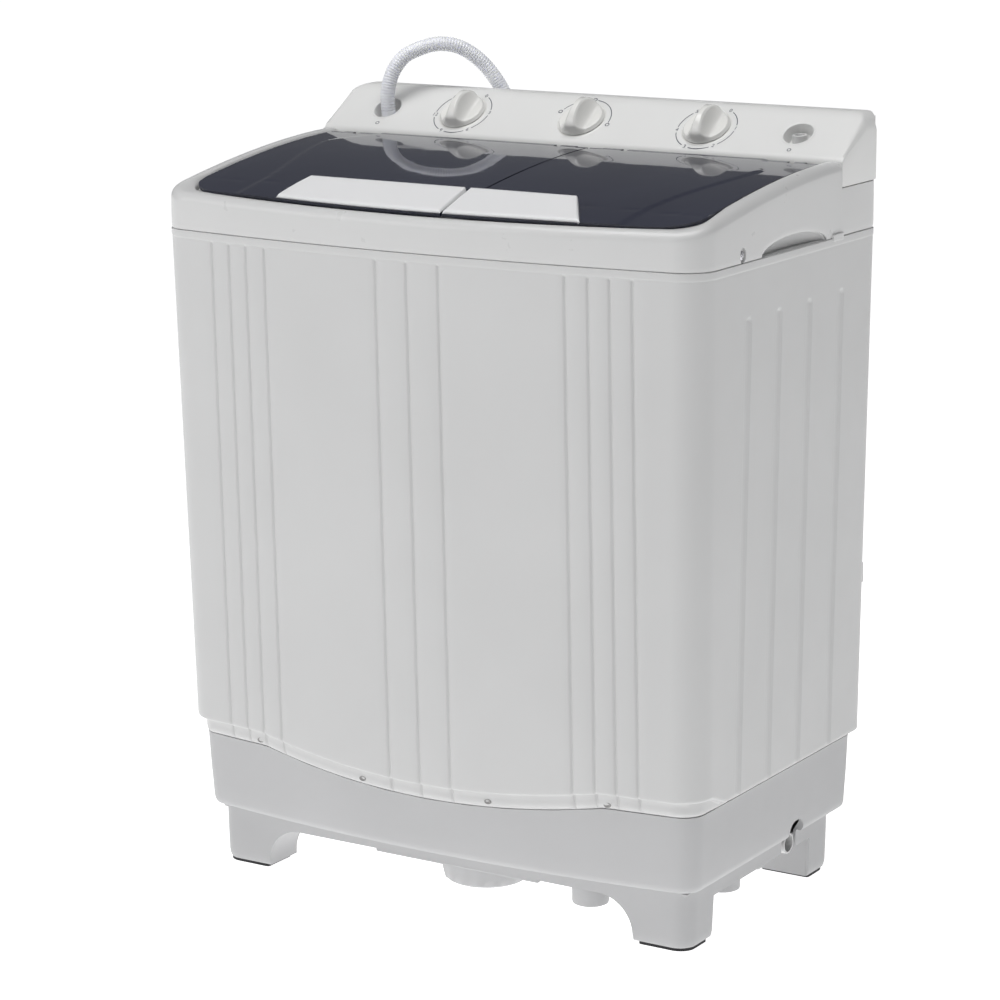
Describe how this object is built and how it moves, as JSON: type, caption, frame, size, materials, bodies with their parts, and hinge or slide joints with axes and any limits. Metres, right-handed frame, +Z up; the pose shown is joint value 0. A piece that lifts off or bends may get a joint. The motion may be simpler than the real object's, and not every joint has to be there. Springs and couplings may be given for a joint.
{
  "type": "twin tub washing machine",
  "caption": "Top-loading twin tub washer: hinged smoky lids over a wash tub and a spin basket, three rear console knobs, inlet hose and four legs.",
  "frame": {"origin": "on the floor, at the middle of the machine's width and depth, hose left out", "axes": "+Z up, -Y out of the front, +X to the right seen from the front"},
  "size_m": [0.6548, 0.4682, 0.8876],
  "materials": {
    "white_shell": "satin moulded",
    "base_plastic": "satin moulded",
    "smoke_lid": "clear gloss, smoky",
    "knob_plastic": "gloss",
    "tub_plastic": "gloss",
    "rubber": "matte",
    "steel": "zinc plated",
    "motor_metal": "painted casting",
    "timer_plastic": "matte",
    "hose_plastic": "translucent corrugated",
    "connector_plastic": "gloss"
  },
  "bodies": {
    "cabinet": {"base_plinth": "base_plastic", "body_shell": "white_shell", "bottom_cover": "base_plastic", "brake_pin": "steel", "capacitor": "motor_metal", "console_back": "white_shell", "console_housing": "white_shell", "drain_outlet": "base_plastic", "drain_valve_body": "tub_plastic", "drive_belt": "rubber", "foot_pad_front_left": "rubber", "foot_pad_front_right": "rubber", "foot_pad_rear_left": "rubber", "foot_pad_rear_right": "rubber", "hand_grip_left": "white_shell", "hand_grip_right": "white_shell", "hose_connector": "connector_plastic", "hose_hook": "white_shell", "inlet_hose": "hose_plastic", "inlet_port_left": "white_shell", "inlet_port_right": "white_shell", "lint_filter": "tub_plastic", "motor_bracket": "motor_metal", "motor_guard": "base_plastic", "motor_spring_front": "steel", "motor_spring_rear": "steel", "motor_spring_right": "steel", "power_gland": "rubber", "rear_cover": "white_shell", "selector_switch": "timer_plastic", "shaft_housing": "motor_metal", "shaft_seal": "rubber", "spin_hinge_rod": "steel", "spin_motor": "motor_metal", "spin_timer_drive": "timer_plastic", "spin_tub": "tub_plastic", "top_deck": "white_shell", "wash_hinge_rod": "steel", "wash_motor": "motor_metal", "wash_timer_drive": "timer_plastic", "wash_tub": "tub_plastic"},
    "wash_lid": {"wash_lid": "smoke_lid", "wash_lid_handle": "white_shell"},
    "spin_lid": {"spin_lid": "smoke_lid", "spin_lid_handle": "white_shell"},
    "wash_timer": {"wash_timer_knob": "knob_plastic", "wash_timer_shaft": "steel"},
    "selector": {"selector_knob": "knob_plastic", "selector_shaft": "steel"},
    "spin_timer": {"spin_timer_knob": "knob_plastic", "spin_timer_shaft": "steel"},
    "pulsator": {"pulsator": "tub_plastic", "pulsator_shaft": "steel", "wash_pulley": "motor_metal"},
    "motor_pulley": {"motor_pulley": "motor_metal"},
    "basket": {"spin_basket": "tub_plastic", "spin_shaft": "steel", "press_plate": "tub_plastic"},
    "brake": {"brake_lever": "steel"},
    "drain_plug": {"drain_valve_plug": "rubber"}
  },
  "joints": [
    {"name": "wash_lid_hinge", "type": "hinge", "parent": "cabinet", "child": "wash_lid", "pos_m": [-0.135, 0.099, 0.77667], "axis": [-1, 0, 0], "range_deg": [0, 95]},
    {"name": "spin_lid_hinge", "type": "hinge", "parent": "cabinet", "child": "spin_lid", "pos_m": [0.163, 0.099, 0.77667], "axis": [-1, 0, 0], "range_deg": [0, 95]},
    {"name": "wash_timer_turn", "type": "hinge", "parent": "cabinet", "child": "wash_timer", "pos_m": [-0.158, 0.1414, 0.80724], "axis": [0, 0.5664, -0.8241], "range_deg": [0, 300]},
    {"name": "selector_turn", "type": "hinge", "parent": "cabinet", "child": "selector", "pos_m": [-0.005, 0.1414, 0.80724], "axis": [0, 0.5664, -0.8241], "range_deg": [0, 80]},
    {"name": "spin_timer_turn", "type": "hinge", "parent": "cabinet", "child": "spin_timer", "pos_m": [0.149, 0.1414, 0.80724], "axis": [0, 0.5664, -0.8241], "range_deg": [0, 300]},
    {"name": "pulsator_spin", "type": "hinge", "parent": "cabinet", "child": "pulsator", "pos_m": [-0.14, -0.005, 0.258], "axis": [0, 0, 1], "continuous": true},
    {"name": "motor_pulley_spin", "type": "hinge", "parent": "cabinet", "child": "motor_pulley", "pos_m": [0.014, -0.09, 0.144], "axis": [0, 0, 1], "continuous": true},
    {"name": "basket_spin", "type": "hinge", "parent": "cabinet", "child": "basket", "pos_m": [0.168, -0.033, 0.3], "axis": [0, 0, 1], "continuous": true},
    {"name": "brake_swing", "type": "hinge", "parent": "cabinet", "child": "brake", "pos_m": [0.2295, -0.073, 0.245], "axis": [0, 0, 1], "range_deg": [0, 4]},
    {"name": "drain_plug_lift", "type": "slide", "parent": "cabinet", "child": "drain_plug", "axis": [0, 0, 1], "range_m": [0, 0.01]}
  ],
  "couplings": [
    {"joint": "motor_pulley_spin", "follows": "pulsator_spin", "ratio": 3},
    {"joint": "brake_swing", "follows": "spin_lid_hinge", "ratio": 0.04},
    {"joint": "drain_plug_lift", "follows": "selector_turn", "m_per_rad": 0.00716}
  ]
}
